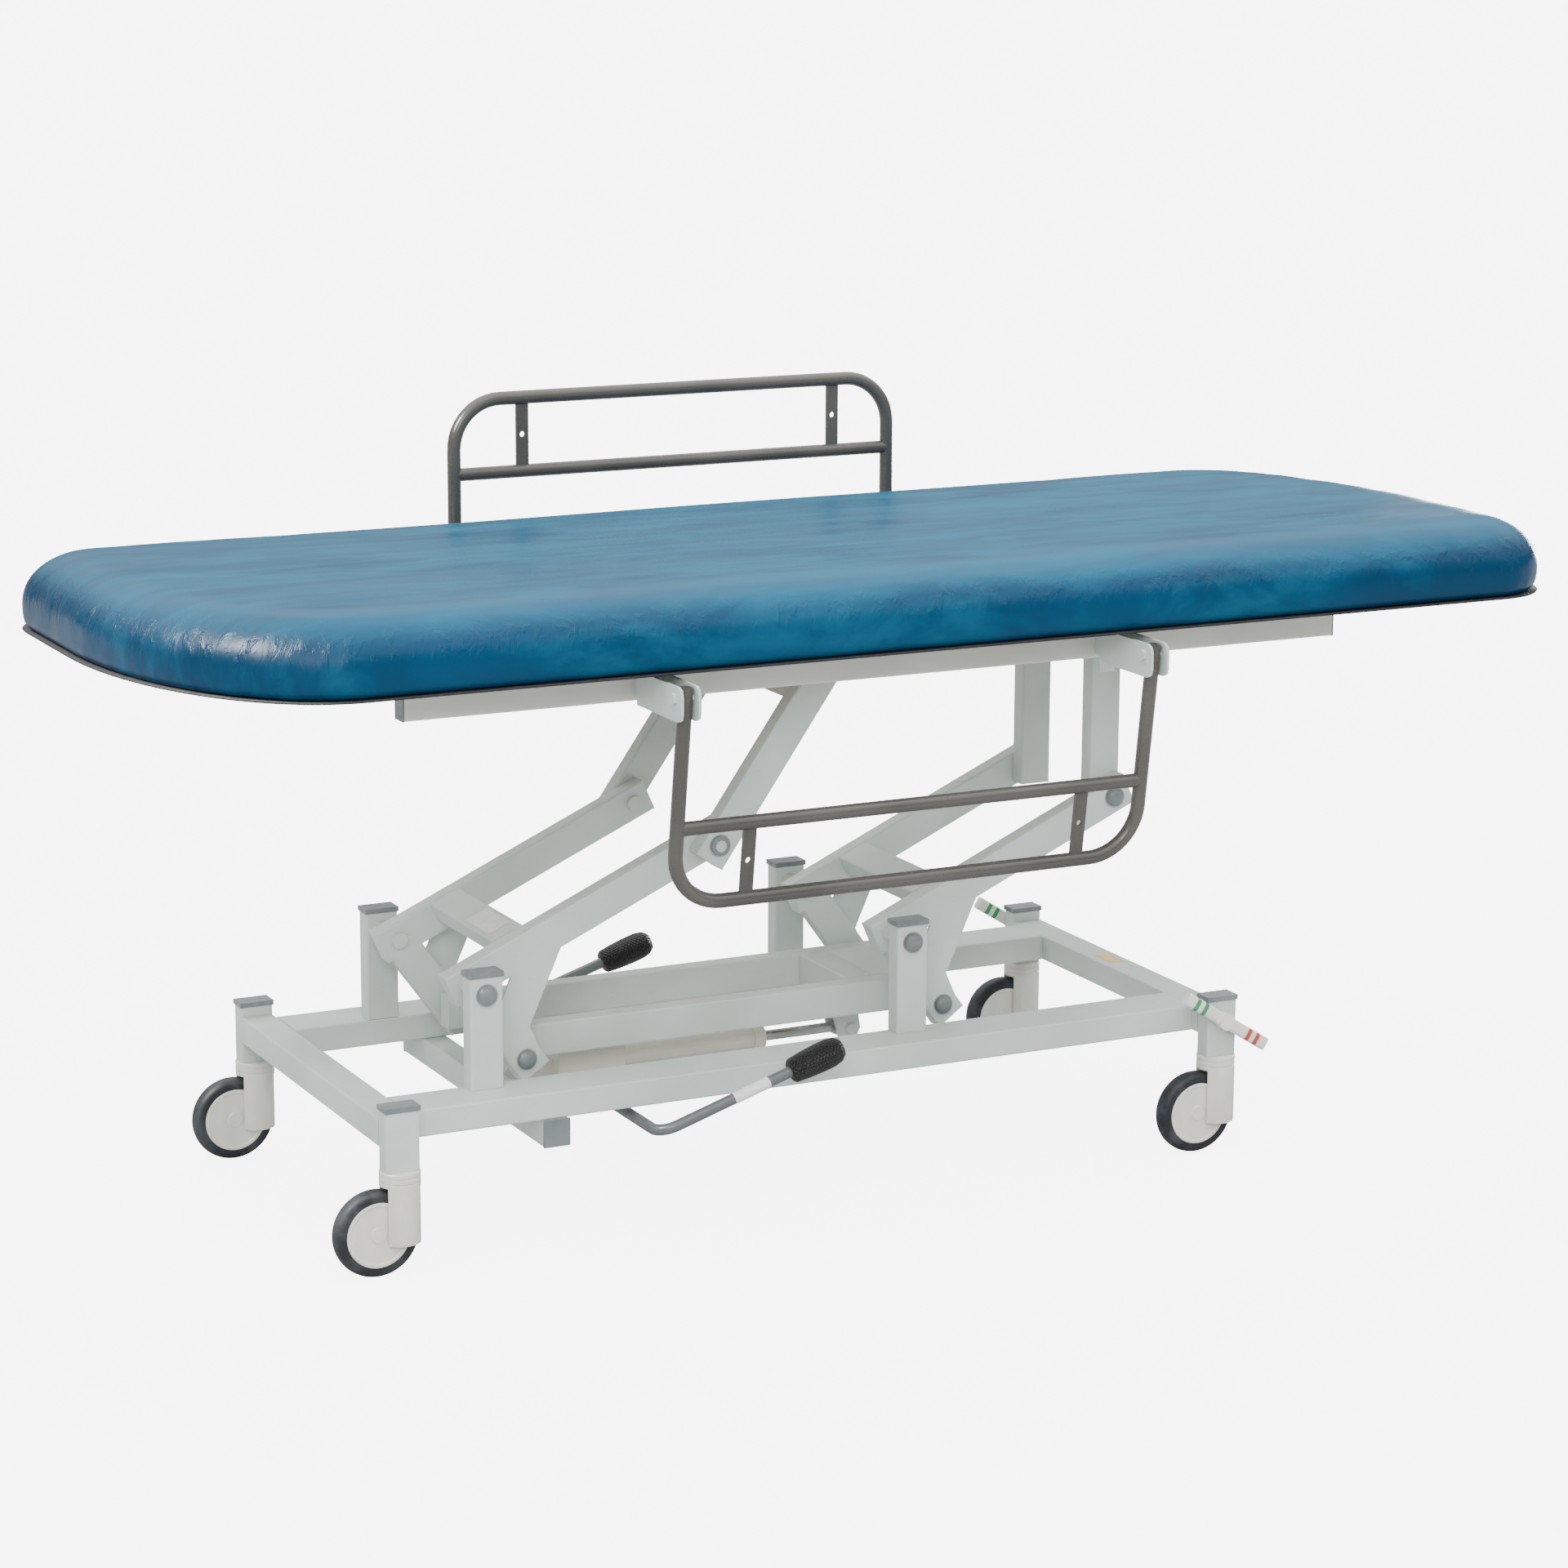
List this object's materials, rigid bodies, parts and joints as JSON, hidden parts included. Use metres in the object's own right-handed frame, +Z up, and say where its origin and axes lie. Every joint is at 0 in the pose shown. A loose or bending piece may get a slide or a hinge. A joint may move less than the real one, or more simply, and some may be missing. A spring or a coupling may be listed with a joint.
{
  "type": "changing trolley",
  "caption": "Height-adjustable hydraulic changing trolley: padded top with folding guards on a parallelogram lift, foot pedals and a wheeled tube base with a brake bar.",
  "frame": {"origin": "on the floor under the middle of the mattress", "axes": "+X along the bed toward the foot end and the brake bar, +Y across it toward the raised guard, +Z up"},
  "size_m": [2.212, 0.866, 1.115],
  "materials": {
    "frame_paint": "satin pale grey-green powder coat",
    "cream_paint": "satin off-white powder coat",
    "guard_paint": "glossy warm dark-grey paint",
    "caster_plastic": "smooth cream nylon",
    "tyre": "dark grey rubber tread",
    "chrome": "ground and plated steel",
    "white_plastic": "smooth white nylon",
    "pump_enamel": "cream enamel",
    "black_rubber": "knurled black rubber",
    "plywood": "sealed plywood",
    "vinyl": "glossy blue coated vinyl over foam"
  },
  "bodies": {
    "base": {"side_rail_near": "frame_paint", "side_rail_far": "frame_paint", "end_rail_head": "frame_paint", "end_rail_foot": "frame_paint", "corner_post_head_near": "frame_paint", "pivot_post_head_near": "frame_paint", "corner_post_head_far": "frame_paint", "pivot_post_head_far": "frame_paint", "corner_post_foot_near": "frame_paint", "pivot_post_foot_near": "frame_paint", "corner_post_foot_far": "frame_paint", "pivot_post_foot_far": "frame_paint", "pump_crossmember": "frame_paint"},
    "caster_head_near": {"caster_fork_head_near": "caster_plastic"},
    "wheel_head_near": {"wheel_disc_head_near": "caster_plastic", "tyre_head_near": "tyre"},
    "caster_head_far": {"caster_fork_head_far": "caster_plastic"},
    "wheel_head_far": {"wheel_disc_head_far": "caster_plastic", "tyre_head_far": "tyre"},
    "caster_foot_near": {"caster_fork_foot_near": "caster_plastic"},
    "wheel_foot_near": {"wheel_disc_foot_near": "caster_plastic", "tyre_foot_near": "tyre"},
    "caster_foot_far": {"caster_fork_foot_far": "caster_plastic"},
    "wheel_foot_far": {"wheel_disc_foot_far": "caster_plastic", "tyre_foot_far": "tyre"},
    "brake": {"brake_shaft": "chrome", "brake_pedal_near": "white_plastic", "brake_pedal_far": "white_plastic"},
    "arm_head": {"lift_arm_head_near": "frame_paint", "lift_arm_head_far": "frame_paint", "arm_cross_head": "frame_paint"},
    "arm_foot": {"lift_arm_foot_near": "frame_paint", "lift_arm_foot_far": "frame_paint", "arm_cross_foot": "frame_paint"},
    "tie": {"tie_bar_near": "frame_paint", "tie_bar_far": "frame_paint", "tie_cross": "frame_paint"},
    "bed": {"top_rail_near": "cream_paint", "top_rail_far": "cream_paint", "top_cross_strut": "cream_paint", "top_cross_leg": "cream_paint", "strut_near": "frame_paint", "strut_far": "frame_paint", "leg_near": "frame_paint", "leg_far": "frame_paint", "support_board": "plywood", "mattress": "vinyl", "guard_bracket_head_near": "frame_paint", "guard_bracket_head_far": "frame_paint", "guard_bracket_foot_near": "frame_paint", "guard_bracket_foot_far": "frame_paint"},
    "pump": {"pump_body": "pump_enamel"},
    "ram_rod": {"ram_rod": "chrome"},
    "pedals": {"pedal_shaft": "frame_paint", "pedal_arm_near": "frame_paint", "pedal_arm_far": "frame_paint", "pedal_pad_near": "black_rubber", "pedal_pad_far": "black_rubber"},
    "guard_near": {"guard_near": "guard_paint"},
    "guard_far": {"guard_far": "guard_paint"}
  },
  "joints": [
    {"name": "caster_swivel_head_near", "type": "hinge", "parent": "base", "child": "caster_head_near", "pos_m": [-0.765, -0.297, 0.1487], "axis": [0, 0, 1], "continuous": true},
    {"name": "wheel_spin_head_near", "type": "hinge", "parent": "caster_head_near", "child": "wheel_head_near", "pos_m": [-0.802, -0.297, 0.0625], "axis": [0, 1, 0], "continuous": true},
    {"name": "caster_swivel_head_far", "type": "hinge", "parent": "base", "child": "caster_head_far", "pos_m": [-0.765, 0.297, 0.1487], "axis": [0, 0, 1], "continuous": true},
    {"name": "wheel_spin_head_far", "type": "hinge", "parent": "caster_head_far", "child": "wheel_head_far", "pos_m": [-0.802, 0.297, 0.0625], "axis": [0, 1, 0], "continuous": true},
    {"name": "caster_swivel_foot_near", "type": "hinge", "parent": "base", "child": "caster_foot_near", "pos_m": [0.555, -0.297, 0.1487], "axis": [0, 0, 1], "continuous": true},
    {"name": "wheel_spin_foot_near", "type": "hinge", "parent": "caster_foot_near", "child": "wheel_foot_near", "pos_m": [0.518, -0.297, 0.0625], "axis": [0, 1, 0], "continuous": true},
    {"name": "caster_swivel_foot_far", "type": "hinge", "parent": "base", "child": "caster_foot_far", "pos_m": [0.555, 0.297, 0.1487], "axis": [0, 0, 1], "continuous": true},
    {"name": "wheel_spin_foot_far", "type": "hinge", "parent": "caster_foot_far", "child": "wheel_foot_far", "pos_m": [0.518, 0.297, 0.0625], "axis": [0, 1, 0], "continuous": true},
    {"name": "brake_rocker", "type": "hinge", "parent": "base", "child": "brake", "pos_m": [0.555, 0, 0.205], "axis": [0, 1, 0], "range_deg": [-64, 0]},
    {"name": "lift", "type": "hinge", "parent": "base", "child": "arm_head", "pos_m": [-0.6, 0, 0.357], "axis": [0, -1, 0], "range_deg": [-42, 12]},
    {"name": "foot_arm_pivot", "type": "hinge", "parent": "base", "child": "arm_foot", "pos_m": [0.076, 0, 0.357], "axis": [0, -1, 0], "range_deg": [-43, 13]},
    {"name": "tie_pivot", "type": "hinge", "parent": "arm_head", "child": "tie", "pos_m": [-0.51183, 0, 0.23565], "axis": [0, -1, 0], "range_deg": [-13, 43]},
    {"name": "bed_pivot", "type": "hinge", "parent": "arm_head", "child": "bed", "pos_m": [-0.22088, 0, 0.5258], "axis": [0, -1, 0], "range_deg": [-13, 43]},
    {"name": "pump_tilt", "type": "hinge", "parent": "base", "child": "pump", "pos_m": [-0.47, 0, 0.175], "axis": [0, -1, 0], "range_deg": [-3.8, 1.5]},
    {"name": "ram_stroke", "type": "slide", "parent": "pump", "child": "ram_rod", "axis": [1, 0, 0], "range_m": [-0.108, 0.032]},
    {"name": "pedal_stroke", "type": "hinge", "parent": "pump", "child": "pedals", "pos_m": [-0.385, 0, 0.158], "axis": [0, 1, 0], "range_deg": [0, 20], "stiffness_Nm_per_rad": 12, "springref_deg": -20.05},
    {"name": "guard_swing_near", "type": "hinge", "parent": "bed", "child": "guard_near", "pos_m": [0, -0.413, 0.8], "axis": [-1, 0, 0], "range_deg": [0, 172]},
    {"name": "guard_swing_far", "type": "hinge", "parent": "bed", "child": "guard_far", "pos_m": [0, 0.413, 0.8], "axis": [-1, 0, 0], "range_deg": [0, 180]}
  ],
  "couplings": [
    {"joint": "foot_arm_pivot", "follows": "lift", "ratio": 1},
    {"joint": "tie_pivot", "follows": "lift", "ratio": -1},
    {"joint": "bed_pivot", "follows": "lift", "ratio": -1},
    {"joint": "pump_tilt", "follows": "lift", "ratio": 0.073},
    {"joint": "ram_stroke", "follows": "lift", "m_per_rad": 0.138}
  ]
}
